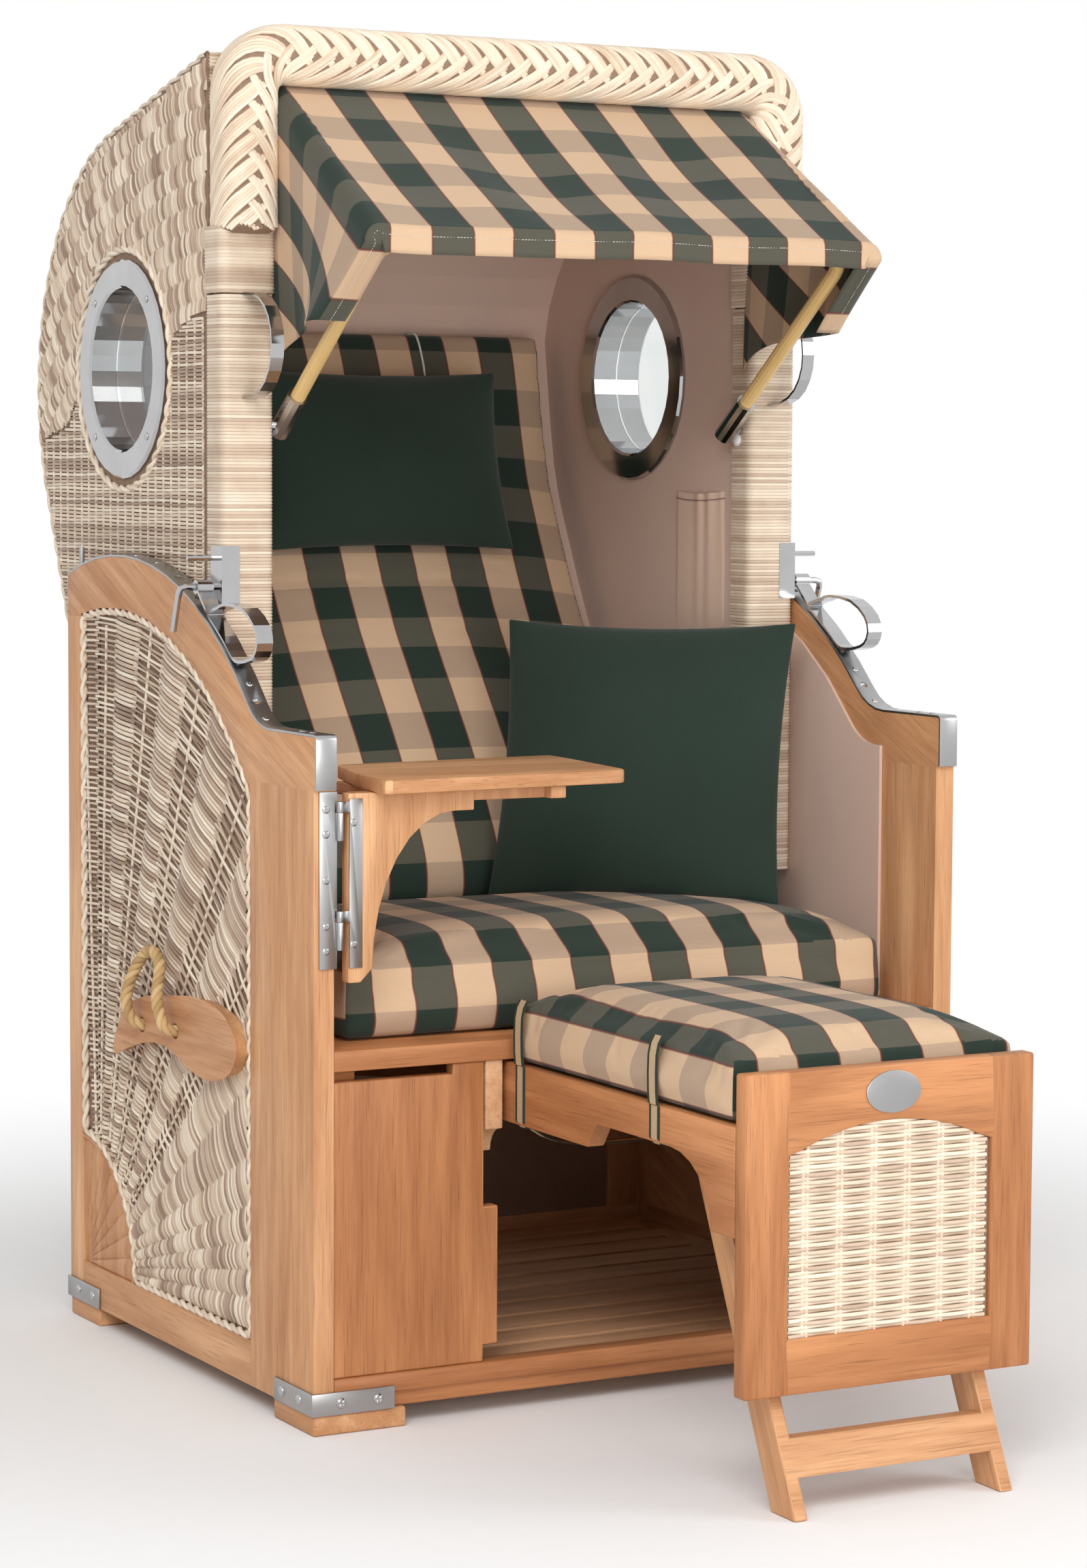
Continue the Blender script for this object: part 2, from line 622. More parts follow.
def make_side(name, side):
    outline = arm_line(STRAP + GAP)
    front = outline[-1][0]
    outline += [(front, ARM_JOINT_HEIGHT), (0, ARM_JOINT_HEIGHT), (0, SIDE_BOTTOM), (BASE_DEPTH, SIDE_BOTTOM)]
    body = prism("x", [outline, side_opening(0)], side * INNER_X, side * BASE_HALF_WIDTH)
    stile = prism("x", [rectangle(PIVOT[0] - PIVOT_STILE_WIDTH / 2, PIVOT[0] + PIVOT_STILE_WIDTH / 2,
                                  SIDE_RAIL_TOP - OVERRUN, PIVOT_STILE_TOP)],
                  side * INNER_X, side * (INNER_X + PIVOT_STILE))
    boss = prism("x", [circle(PIVOT, PIVOT_BOSS_RADIUS, 24)],
                 side * (HOOD_HALF_WIDTH + GAP), side * (INNER_X + PIVOT_STILE / 2))
    pin = prism("x", [circle(PIVOT, PIVOT_PIN_RADIUS)],
                side * (CAVITY_HALF_WIDTH + GAP), side * (INNER_X + PIVOT_STILE / 2))
    fan_corner = (BASE_DEPTH - REAR_POST_DEPTH, SIDE_RAIL_TOP)
    fan = [fan_corner] + arc(fan_corner, FAN_RADIUS - FAN_RECESS, math.pi / 2, math.pi)
    recess = prism("x", [fan], side * (BASE_HALF_WIDTH - FAN_RECESS), side * (BASE_HALF_WIDTH + OVERRUN))
    add("side_frame_" + name, body, "teak", "root", joined=(stile, boss, pin), cut=(recess,))

    outer = BASE_HALF_WIDTH - SIDE_WICKER_INSET
    add("side_wicker_" + name, prism("x", [side_opening(GAP)], side * (outer - SIDE_WICKER), side * outer),
        "wicker", "root")

    strap = arm_line(0) + [(arm_line(0)[-1][0], STRAP_FRONT_BOTTOM)]
    under = arm_line(STRAP) + [(arm_line(STRAP)[-1][0], STRAP_FRONT_BOTTOM)]
    strap_pin = prism("z", [circle((side * STRAP_X, STRAP_PIN_DEPTH), STRAP_PIN_RADIUS, 10)],
                      strap_height(STRAP_PIN_DEPTH) - STRAP / 2, STRAP_PIN_TOP)
    holes = [strap_hole(side, FIRST_HOLE_ANGLE - i * HOLE_STEP_ANGLE) for i in range(STRAP_HOLE_COUNT)]
    add("arm_strap_" + name, prism("x", [strap + under[::-1]], side * INNER_X, side * BASE_HALF_WIDTH),
        "steel", "root", joined=(strap_pin,), cut=holes)

    make_side_lining(name, side)
    make_carry_handle(name, side)


def strap_height(depth):
    return PIVOT[1] + math.sqrt(STRAP_RADIUS ** 2 - (depth - PIVOT[0]) ** 2)


def strap_hole(side, angle):
    inner, outer = STRAP_RADIUS - STRAP - GAP / 2, STRAP_RADIUS + OVERRUN
    ends = [(side * STRAP_X, PIVOT[0] + r * math.cos(angle), PIVOT[1] + r * math.sin(angle))
            for r in (inner, outer)]
    return tube(ends, STRAP_HOLE_RADIUS, 8)


def make_side_lining(name, side):
    a, b = LINING_FLAT - PIVOT[0], LINING_TOP - PIVOT[1]
    fillet = (a * a + b * b - LINING_RADIUS ** 2) / (2 * (LINING_RADIUS - b))
    fillet_centre = (LINING_FLAT, LINING_TOP + fillet)
    meet = angle_of(PIVOT, fillet_centre)
    start = math.acos((LINING_REAR - PIVOT[0]) / LINING_RADIUS)
    outline = arc(PIVOT, LINING_RADIUS, start, meet)
    outline += arc(fillet_centre, fillet, angle_of(fillet_centre, PIVOT), -math.pi / 2)[1:]
    outline += [(LINING_FRONT, LINING_TOP), (LINING_FRONT, SEAT_TOP + GAP), (LINING_REAR, SEAT_TOP + GAP)]
    outer = INNER_X - GAP
    add("side_lining_" + name, prism("x", [outline], side * (outer - LINING), side * outer), "lining", "root")


def make_carry_handle(name, side):
    place, size = HANDLE_PLACE, HANDLE_SIZE
    outline = [(place[0] + u * size[0], place[1] + v * size[1]) for u, v in HANDLE_OUTLINE_shares]
    holes = [circle(hole, ROPE_HOLE_RADIUS, 12) for hole in ROPE_HOLES]
    inner = BASE_HALF_WIDTH - SIDE_WICKER_INSET + GAP
    outer = inner + HANDLE
    middle = outer - HANDLE_ROUND
    wide = smooth(outline, 3)
    slim = offset(wide, HANDLE_ROUND)
    rows = [[(side * x, a, b) for a, b in loop] for x, loop in ((inner, wide), (middle, wide), (outer, slim))]
    drills = [prism("x", [hole], side * (inner + GAP), side * (outer + OVERRUN)) for hole in holes]
    add("carry_handle_" + name, loft(rows), "teak", "root", cut=drills)

    # The rope stands up from two holes and bends back over the handle's edge
    shift = BASE_HALF_WIDTH - SIDE_WICKER_INSET
    route = [(side * (x + shift), y, z) for x, y, z in ROPE_ROUTE]
    curve = bpy.data.curves.new("carry_rope_" + name, "CURVE")
    curve.dimensions = "3D"
    curve.bevel_depth = ROPE_RADIUS
    curve.bevel_resolution = 2
    curve.use_fill_caps = True
    spline = curve.splines.new("POLY")
    spline.points.add(len(route) - 1)
    for point, place in zip(spline.points, route):
        point.co = (*place, 1)
    rope = bpy.data.objects.new("carry_rope_" + name, curve)
    bpy.context.collection.objects.link(rope)
    rope.parent = BODIES["root"]
    curve.materials.append(FINISHES["rope"])


def make_base():
    for name, side in SIDES:
        make_side(name, side)
        foot_inner = side * (BASE_HALF_WIDTH - FOOT_WIDTH)
        width = sorted((foot_inner, side * BASE_HALF_WIDTH))
        add("foot_front_" + name, box(*width, 0, FRONT_FOOT_DEPTH, 0, FOOT_HEIGHT), "teak", "root")
        add("foot_rear_" + name, box(*width, BASE_DEPTH - REAR_FOOT_DEPTH, BASE_DEPTH, 0, FOOT_HEIGHT),
            "teak", "root")
        for place, depth, inward in (("front", 0, 1), ("rear", BASE_DEPTH, -1)):
            make_corner_bracket(f"corner_bracket_{place}_{name}", side, depth, inward)
        make_front_board(name, side)
        make_runner(name, side)

    step = [(FRONT_RAIL_STEP, SIDE_BOTTOM), (FRONT_RAIL_DEPTH, SIDE_BOTTOM),
            (FRONT_RAIL_DEPTH, FRONT_RAIL_TOP), (0, FRONT_RAIL_TOP), (0, FRONT_RAIL_STEP_TOP),
            (FRONT_RAIL_STEP, FRONT_RAIL_STEP_TOP)]
    add("front_rail", prism("x", [step], -SPAN, SPAN), "teak", "root")

    rear_front = BASE_DEPTH - REAR_FRAME
    hole = rectangle(-SPAN + REAR_RAIL, SPAN - REAR_RAIL, SIDE_BOTTOM + REAR_RAIL, REAR_FRAME_TOP - REAR_RAIL)
    add("rear_frame", prism("y", [rectangle(-SPAN, SPAN, SIDE_BOTTOM, REAR_FRAME_TOP), hole],
                            rear_front, BASE_DEPTH), "teak", "root")
    inset = REAR_RAIL + GAP
    panel = rectangle(-SPAN + inset, SPAN - inset, SIDE_BOTTOM + inset, REAR_FRAME_TOP - inset)
    middle = BASE_DEPTH - REAR_FRAME / 2
    half = REAR_WICKER / 2
    add("rear_wicker", prism("y", [panel], middle - half, middle + half), "wicker", "root")

    floor_rear = rear_front - GAP
    pitch = (floor_rear - FLOOR_FRONT) / (FLOOR_SLOT_COUNT + 1)
    slots = [rectangle(-SPAN + FLOOR_EDGE, SPAN - FLOOR_EDGE, FLOOR_FRONT + pitch * i - FLOOR_SLOT / 2,
                       FLOOR_FRONT + pitch * i + FLOOR_SLOT / 2) for i in range(1, FLOOR_SLOT_COUNT + 1)]
    add("floor_slats", prism("z", [rectangle(-SPAN, SPAN, FLOOR_FRONT, floor_rear)] + slots,
                             FLOOR_TOP - FLOOR, FLOOR_TOP), "teak", "root")
    make_seat()


def make_corner_bracket(name, side, depth, inward):
    """Pressed steel angle round an outer corner; inward is +1 at the front, -1 at the rear."""
    out = BASE_HALF_WIDTH + GAP
    face = depth - inward * GAP
    far = face + inward * BRACKET_ARM
    near = face - inward * BRACKET
    corner = [(side * (out + BRACKET), near), (side * (out + BRACKET), far), (side * out, far),
              (side * out, face), (side * (out - BRACKET_ARM), face), (side * (out - BRACKET_ARM), near)]
    add(name, prism("z", [corner], SIDE_BOTTOM, BRACKET_TOP), "steel", "root")


def make_front_board(name, side):
    stile = FRONT_BOARD_INNER + FRONT_STILE
    bottom = FRONT_RAIL_TOP + GAP
    outline = [(FRONT_BOARD_INNER, bottom), (SPAN, bottom), (SPAN, FRONT_BOARD_TOP), (stile, FRONT_BOARD_TOP),
               (stile, SEAT_LIP_BOTTOM - GAP), (FRONT_BOARD_INNER, SEAT_LIP_BOTTOM - GAP),
               (FRONT_BOARD_INNER, GUIDE_STRIP_TOP), (GUIDE_STRIP_INNER, GUIDE_STRIP_TOP),
               (GUIDE_STRIP_INNER, GUIDE_STRIP_BOTTOM), (FRONT_BOARD_INNER, GUIDE_STRIP_BOTTOM)]
    add("front_board_" + name, prism("y", [[(side * x, z) for x, z in outline]], FRONT_BOARD_SETBACK,
                                     FRONT_BOARD_SETBACK + FRONT_BOARD), "teak", "root")


def slide_height(depth):
    """Height of the guide slot's middle at a depth."""
    return GUIDE_PEG_HEIGHT - SLIDE_SLOPE_share * (depth - GUIDE_PEG_DEPTH)


def make_runner(name, side):
    top = SEAT_LIP_BOTTOM - GAP
    cove = arc((RUNNER_FRONT, RUNNER_BOTTOM), RUNNER_COVE, math.pi / 2, 0, math.radians(18))
    outline = [(RUNNER_FRONT, top)] + cove + [(RUNNER_REAR, RUNNER_BOTTOM), (RUNNER_REAR, top)]
    radius = GUIDE_PEG_RADIUS + RUNNING_GAP
    slant = math.atan(SLIDE_SLOPE_share)
    first = GUIDE_PEG_DEPTH - GUIDE_PEG_PITCH
    last = GUIDE_PEG_DEPTH + FOOTREST_TRAVEL * math.cos(slant)
    up = math.pi / 2 - slant
    step = math.radians(30)
    slot = arc((first, slide_height(first)), radius, up, up + math.pi, step)
    slot += arc((last, slide_height(last)), radius, up - math.pi, up, step)
    add("runner_" + name, prism("x", [outline, slot], side * RUNNER_INNER, side * (RUNNER_INNER + RUNNER)),
        "teak", "root")


def make_seat():
    profile = [(0, SEAT_LIP_BOTTOM), (SEAT_LIP, SEAT_LIP_BOTTOM), (SEAT_LIP, SEAT_TOP - SEAT_BOARD),
               (SEAT_REAR, SEAT_TOP - SEAT_BOARD), (SEAT_REAR, SEAT_TOP), (0, SEAT_TOP)]
    battens = [box(*sorted((side * (SPAN - SEAT_BATTEN), side * SPAN)), SEAT_BATTEN_FRONT, SEAT_REAR,
                   SEAT_BATTEN_BOTTOM, SEAT_TOP - SEAT_BOARD / 2) for _, side in SIDES]
    add("seat_board", prism("x", [profile], -SPAN, SPAN), "teak", "root", joined=battens)

    middle = SEAT_CUSHION_FRONT + SEAT_CUSHION_DEPTH / 2
    size = (2 * (INNER_X - SEAT_CUSHION_CLEARANCE), SEAT_CUSHION_DEPTH, SEAT_CUSHION)
    add("seat_cushion", cushion(size, lambda a, b, c: (a, middle + b, SEAT_TOP + GAP + c),
                                edge_share=0.72, pull_share=0.012, flat_back=True, cells=(16, 10), power=6),
        "check", "root", True)

    size = SCATTER_SIZE
    turn = Matrix.Rotation(-SCATTER_TURN_ANGLE, 4, "Z") @ Matrix.Rotation(
        math.pi / 2 - SCATTER_LEAN_ANGLE, 4, "X")
    height = SEAT_TOP + SEAT_CUSHION + size[1] / 2 * math.cos(SCATTER_LEAN_ANGLE) + SCATTER_LIFT

    def stand(a, b, c):
        point = turn @ Vector((a, b, c))
        return Vector((INNER_X - SCATTER_INSET, SCATTER_DEPTH, height)) + point

    add("scatter_cushion", cushion(size, stand, edge_share=0.06, pull_share=0.05, power=2.2),
        "green", "root", True)


# Table
def make_table():
    corners = (TABLE_FRONT_LEFT, TABLE_FRONT_RIGHT, TABLE_RIGHT,
               TABLE_REAR_RIGHT, TABLE_REAR_LEFT, TABLE_LEFT)
    outline = rounded([(x - INNER_X, y) for x, y in corners], TABLE_CORNER)
    under = TABLE_TOP - TABLE - GAP
    add("table_top", prism("z", [outline], TABLE_TOP - TABLE, TABLE_TOP), "teak", "table")

    left = TABLE_BRACKET_INSET - INNER_X
    right = left + TABLE_BRACKET_REACH
    arm_bottom = under - TABLE_BRACKET_ARM
    reach = (right - TABLE_BRACKET_ARM) - (left + TABLE_BRACKET_FOOT)
    drop = arm_bottom - TABLE_BRACKET_BOTTOM - TABLE_BRACKET_FOOT / 2
    sweep = [(left + TABLE_BRACKET_FOOT + reach * (1 - math.cos(a)), arm_bottom - drop * (1 - math.sin(a)))
             for a in [math.pi / 2 * i / 8 for i in range(9)]]
    shape = [(left, TABLE_BRACKET_BOTTOM), (left + TABLE_BRACKET_FOOT / 2, TABLE_BRACKET_BOTTOM)]
    shape += sweep + [(right, arm_bottom), (right, under), (left, under)]
    bracket = prism("y", [shape], TABLE_BRACKET_FRONT, TABLE_BRACKET_FRONT + TABLE_BRACKET)
    rail_rear = TABLE_BRACKET_FRONT + TABLE_BRACKET
    low = under - TABLE_CLEAT
    near = TABLE_LEFT[0] - INNER_X + TABLE_CLEAT_WIDTH
    far = TABLE_RIGHT[0] - INNER_X - TABLE_CLEAT_INSET
    cleats = [box(near, near + TABLE_CLEAT_WIDTH, TABLE_BRACKET_FRONT, TABLE_CLEAT_REAR, low, under),
              box(far, far + TABLE_CLEAT_WIDTH, -TABLE_CLEAT_FRONT / 2, TABLE_CLEAT_REAR, low, under)]
    batten = box(left + OVERRUN, far + TABLE_CLEAT_WIDTH / 2, rail_rear - TABLE_BRACKET / 2,
                 rail_rear + TABLE_BRACKET / 2, low, under)
    add("table_bracket", bracket, "teak", "table", joined=(batten, *cleats))

    # One leaf turns with the table; the other, on the post, is notched round its knuckles
    leaf_front = TABLE_BRACKET_FRONT - GAP - HINGE_LEAF
    leaf_rear = leaf_front + HINGE_LEAF
    lows = [low + KNUCKLE + GAP for low in KNUCKLE_BOTTOMS]
    arms = [box(TABLE_AXIS, left + GAP, leaf_front, leaf_rear, low, low + TABLE_KNUCKLE) for low in lows]
    leaf = box(left, left + TABLE_LEAF_WIDTH, leaf_front, leaf_rear, HINGE_LEAF_BOTTOM, TABLE_LEAF_TOP)
    knuckles = [barrel(low, TABLE_KNUCKLE) for low in lows]
    add("table_hinge_leaf", leaf, "steel", "table", joined=arms + knuckles)

    leaf = box(-INNER_X - HINGE_LEAF_WIDTH, TABLE_AXIS - TABLE_AXIS_INSET / 2, -GAP - HINGE_LEAF, -GAP,
               HINGE_LEAF_BOTTOM, HINGE_LEAF_TOP)
    notches = [box(-INNER_X, TABLE_AXIS + OVERRUN, -GAP - 2 * HINGE_LEAF, OVERRUN,
                   low - GAP, low + TABLE_KNUCKLE + GAP) for low in lows]
    add("table_hinge_post_leaf", leaf, "steel", "root",
        joined=[barrel(low, KNUCKLE) for low in KNUCKLE_BOTTOMS], cut=notches)


def barrel(low, length):
    return prism("z", [circle((TABLE_AXIS, TABLE_AXIS_DEPTH), KNUCKLE_RADIUS, 12)], low, low + length)


# Hood
def tangent_angle():
    """Angle of the line that touches both the back arc and the pivot lobe."""
    across = Vector(PIVOT) - Vector(HOOD_ARC_CENTRE)
    turn = math.acos((HOOD_ARC_RADIUS - HOOD_LOBE_RADIUS) / across.length)
    return math.atan2(across.y, across.x) + turn


def roof_point(depth, drop):
    """Point of the straight roof at a depth, a drop below its outer face."""
    radius = HOOD_ARC_RADIUS - drop
    touch = (HOOD_ARC_CENTRE[0] + radius * math.cos(HOOD_ROOF_ANGLE),
             HOOD_ARC_CENTRE[1] + radius * math.sin(HOOD_ROOF_ANGLE))
    return (depth, touch[1] + (touch[0] - depth) / math.tan(HOOD_ROOF_ANGLE))


def hood_outline():
    front = POLE_FRONT + POLE_DEPTH + GAP
    back = tangent_angle()
    corner = (front, HOOD_FRONT_BOTTOM)
    reach = Vector(HOOD_KNEE) - Vector(PIVOT)
    low = math.atan2(reach.y, reach.x) + math.acos(HOOD_LOBE_RADIUS / reach.length)
    outline = [roof_point(front, 0)] + arc(HOOD_ARC_CENTRE, HOOD_ARC_RADIUS, HOOD_ROOF_ANGLE, back)
    outline += arc(PIVOT, HOOD_LOBE_RADIUS, back, low - math.tau, math.radians(20))
    return outline + [HOOD_KNEE, corner]


def cavity_outline(drop, front):
    """The space inside the hood, bounded by the roof, the back and the backrest board."""
    rest = offset(smooth(BACKREST, 3, closed=False), drop - HOOD_BACK, closed=False)
    top = rest[-1]
    start = angle_of(HOOD_ARC_CENTRE, top)
    outline = [roof_point(front, drop)]
    outline += arc(HOOD_ARC_CENTRE, HOOD_ARC_RADIUS - drop, HOOD_ROOF_ANGLE, start + ARC_STEP_ANGLE)
    return outline + rest[::-1]


def make_hood():
    front = POLE_FRONT + POLE_DEPTH + GAP
    shell = prism("x", [hood_outline()], -HOOD_HALF_WIDTH, HOOD_HALF_WIDTH)
    inner = cavity_outline(HOOD_BACK, front - OVERRUN)
    rear = HOOD_ARC_CENTRE[0] + HOOD_ARC_RADIUS + OVERRUN
    floor_z = PIVOT[1] - HOOD_LOBE_RADIUS - OVERRUN
    inner += [(rear, inner[-1][1]), (rear, floor_z), (front - OVERRUN, floor_z)]
    cavity = prism("x", [inner], -CAVITY_HALF_WIDTH, CAVITY_HALF_WIDTH)
    porthole = circle(PORTHOLE, PORTHOLE_BORE + PORTHOLE_TUBE + GAP / 2 + GAP, 32)
    bores = []
    for _, side in SIDES:
        ends = sorted((side * (CAVITY_HALF_WIDTH - OVERRUN), side * (HOOD_HALF_WIDTH + OVERRUN)))
        bores.append(prism("x", [porthole], *ends))
        bores.append(prism("x", [circle(PIVOT, PIVOT_PIN_RADIUS + RUNNING_GAP)], *ends))
    add("hood_shell", shell, "wicker", "hood", cut=(cavity, *bores))

    skin_out = cavity_outline(HOOD_BACK + GAP, front)
    skin_in = cavity_outline(HOOD_BACK + GAP + HOOD_LINING, front)
    low = BACKREST[0][1] + OVERRUN
    side_low = [(skin_out[-1][0] - OVERRUN, low), (front, HOOD_FRONT_BOTTOM + OVERRUN)]
    outer = prism("x", [skin_out + side_low], -CAVITY_HALF_WIDTH + GAP, CAVITY_HALF_WIDTH - GAP)
    open_in = [(front - OVERRUN, roof_point(front - OVERRUN, HOOD_BACK + GAP + HOOD_LINING)[1])] + skin_in[1:]
    open_in += [(skin_in[-1][0], low - 2 * OVERRUN), (front - OVERRUN, low - 2 * OVERRUN)]
    width = CAVITY_HALF_WIDTH - GAP - HOOD_LINING
    hollow = prism("x", [open_in], -width, width)
    bore = prism("x", [porthole], -HOOD_HALF_WIDTH, HOOD_HALF_WIDTH)
    add("hood_lining", outer, "lining", "hood", cut=(hollow, bore))
    make_front_frame()
    for name, side in SIDES:
        make_porthole(name, side)
        make_grab_handle(name, side)
        make_lever(name, side)
    make_hood_cushions()
    make_canopy()


def frame_section(bulge):
    """Half-sizes and forward shift of the front frame's section; bulge runs from 0 to 1."""
    return POLE_WIDTH / 2, POLE_DEPTH / 2 + bulge * BRAID_BULGE / 2, -bulge * BRAID_BULGE / 2


def make_front_frame():
    """The wrapped poles and the braided top as one hoop, swept along its middle line."""
    half = HOOD_HALF_WIDTH - POLE_WIDTH / 2
    top = (BRAID_TOP + BRAID_INNER) / 2
    thick = (BRAID_TOP - BRAID_INNER) / 2
    bend = BRAID_CORNER - POLE_WIDTH / 4
    path = [(-half, HOOD_FRONT_BOTTOM), (-half, BRAID_BOTTOM - OVERRUN), (-half, BRAID_BOTTOM)]
    path += arc((-half + bend, top - bend), bend, math.pi, math.pi / 2, math.radians(18))
    path += [(-half / 2, top), (0, top), (half / 2, top)]
    path += arc((half - bend, top - bend), bend, math.pi / 2, 0, math.radians(18))
    path += [(half, BRAID_BOTTOM), (half, BRAID_BOTTOM - OVERRUN), (half, HOOD_FRONT_BOTTOM)]
    middle = POLE_FRONT + POLE_DEPTH / 2
    rings = []
    for i, (x, z) in enumerate(path):
        along = Vector(path[min(i + 1, len(path) - 1)]) - Vector(path[max(i - 1, 0)])
        if i in (0, len(path) - 1) or z < BRAID_BOTTOM + OVERRUN:
            along = Vector((0, 1 if x < 0 else -1))
        along.normalize()
        out = Vector((-along.y, along.x))
        wide, deep, shift = frame_section(0 if z < BRAID_BOTTOM else 1)
        if z > top - OVERRUN:
            wide = thick
        ring = []
        for k in range(12):
            a = math.tau * k / 12
            u = math.copysign(abs(math.cos(a)) ** POLE_SQUARE_share, math.cos(a))
            v = math.copysign(abs(math.sin(a)) ** POLE_SQUARE_share, math.sin(a))
            place = Vector((x, z)) + out * (wide * u)
            ring.append((place.x, min(middle + shift + deep * v, POLE_FRONT + POLE_DEPTH), place.y))
        rings.append(ring)
    add("hood_front_frame", loft(rings), "wicker", "hood", True)


def make_porthole(name, side):
    outer = HOOD_HALF_WIDTH + GAP
    inner = CAVITY_HALF_WIDTH - GAP - HOOD_LINING - GAP
    bore, tube_out = PORTHOLE_BORE, PORTHOLE_BORE + PORTHOLE_TUBE
    rim, edge = PORTHOLE_FLANGE_RADIUS, PORTHOLE_FLANGE_EDGE
    profile = [(bore, outer + PORTHOLE_FLANGE - edge), (bore + edge, outer + PORTHOLE_FLANGE),
               (rim - edge, outer + PORTHOLE_FLANGE), (rim, outer + PORTHOLE_FLANGE - edge), (rim, outer),
               (tube_out, outer), (tube_out, inner), (rim, inner), (rim, inner - PORTHOLE_FLANGE + edge),
               (rim - edge, inner - PORTHOLE_FLANGE), (bore + edge, inner - PORTHOLE_FLANGE),
               (bore, inner - PORTHOLE_FLANGE + edge)]
    add("porthole_" + name, turned([(r, side * x) for r, x in profile], PORTHOLE), "chrome", "hood", True)
    middle = side * (outer + inner) / 2
    half = PORTHOLE_GLASS / 2
    pane = circle(PORTHOLE, PORTHOLE_BORE - GAP, 32)
    add("porthole_glass_" + name, prism("x", [pane], middle - half, middle + half), "glass", "hood", True)


def make_grab_handle(name, side):
    """A bent steel band, bowed forward from two ends on the pole."""
    x = HOOD_HALF_WIDTH - POLE_WIDTH / 2
    seat = POLE_FRONT - GAP
    height = (GRAB_TOP - GRAB_BOTTOM) / 2
    middle = (GRAB_TOP + GRAB_BOTTOM) / 2
    reach = seat - GRAB_FRONT
    angles = [math.pi / 2 * i / 6 for i in range(-6, 7)]

    def bow(inset):
        points = [(seat - (reach - inset) * math.cos(a) ** GRAB_BOW_share,
                   middle + (height - inset) * math.sin(a)) for a in angles]
        return [(seat, middle - height + inset)] + points[1:-1] + [(seat, middle + height - inset)]

    band = bow(0) + bow(GRAB_STEEL)[::-1]
    add("grab_handle_" + name, prism("x", [band], side * (x - GRAB_WIDTH / 2), side * (x + GRAB_WIDTH / 2)),
        "chrome", "hood", True)


def make_lever(name, side):
    outer = HOOD_HALF_WIDTH + GAP
    front = POLE_FRONT - GAP
    face = front - LEVER_BRACKET
    rear = front + LEVER_BRACKET_DEPTH
    out = outer + LEVER_BRACKET
    plate = [(outer - LEVER_BRACKET_WIDTH, face), (out, face), (out, rear), (outer, rear), (outer, front),
             (outer - LEVER_BRACKET_WIDTH, front)]
    bracket = prism("z", [[(side * x, y) for x, y in plate]], LEVER_BRACKET_BOTTOM, LEVER_BRACKET_TOP)
    y, z = LEVER_AXIS
    end = BASE_HALF_WIDTH + LEVER_ROD_CLEARANCE
    drop = LEVER_ROD_DROP
    route = [(outer + LEVER_BRACKET / 2, y, z), (end - 2 * LEVER_ROD_RADIUS, y, z),
             (end - LEVER_ROD_RADIUS / 2, y, z - LEVER_ROD_RADIUS / 2),
             (end, y + drop[0] / 8, z - 2 * LEVER_ROD_RADIUS), (end, y + drop[0], z + drop[1])]
    rod = tube([(side * a, b, c) for a, b, c in route], LEVER_ROD_RADIUS, 10)
    stop_z = z + LEVER_STOP_RISE
    stop_end = BASE_HALF_WIDTH + LEVER_STOP_OVERHANG
    stop = tube([(side * (outer + LEVER_BRACKET / 2), y, stop_z), (side * stop_end, y, stop_z)],
                LEVER_STOP_RADIUS, 8)
    add("lever_rod_" + name, bracket, "chrome", "hood", joined=(rod, stop))

    # The lever is one bent band: a loop to pull, a tail on the strap and an eye on the rod
    centre = STRAP_RADIUS + LEVER_LIFT + LEVER_STEEL / 2
    peg_angle = FIRST_HOLE_ANGLE - HOLE_STEP_ANGLE
    lower = arc(PIVOT, centre, peg_angle, LEVER_TAIL_ANGLE, math.radians(3))
    loop = smooth(lower + list(LEVER_LOOP), 2)
    near = side * (STRAP_X - LEVER_WIDTH / 2)
    far = side * (STRAP_X + LEVER_WIDTH / 2)
    half = LEVER_STEEL / 2
    band = prism("x", [offset(loop, half), offset(loop, -half)], near, far)
    tail = Vector(lower[-1])
    eye = Vector(LEVER_AXIS)
    along = (eye - tail).normalized()
    start, stop_at = tail + along * half, eye - along * (LEVER_EYE_RADIUS - half)
    across = Vector((-along.y, along.x)) * half
    arm = prism("x", [[tuple(start + across), tuple(start - across), tuple(stop_at - across),
                       tuple(stop_at + across)]], near, far)
    bore = circle(LEVER_AXIS, LEVER_ROD_RADIUS + RUNNING_GAP)
    ring = prism("x", [circle(LEVER_AXIS, LEVER_EYE_RADIUS), bore], near, far)
    ends = [(side * STRAP_X, PIVOT[0] + r * math.cos(peg_angle), PIVOT[1] + r * math.sin(peg_angle))
            for r in (STRAP_RADIUS + GAP, centre)]
    peg = tube(ends, LEVER_PEG_RADIUS, 8)
    add("lock_lever_" + name, band, "steel", "lever_" + name, joined=(arm, ring, peg))


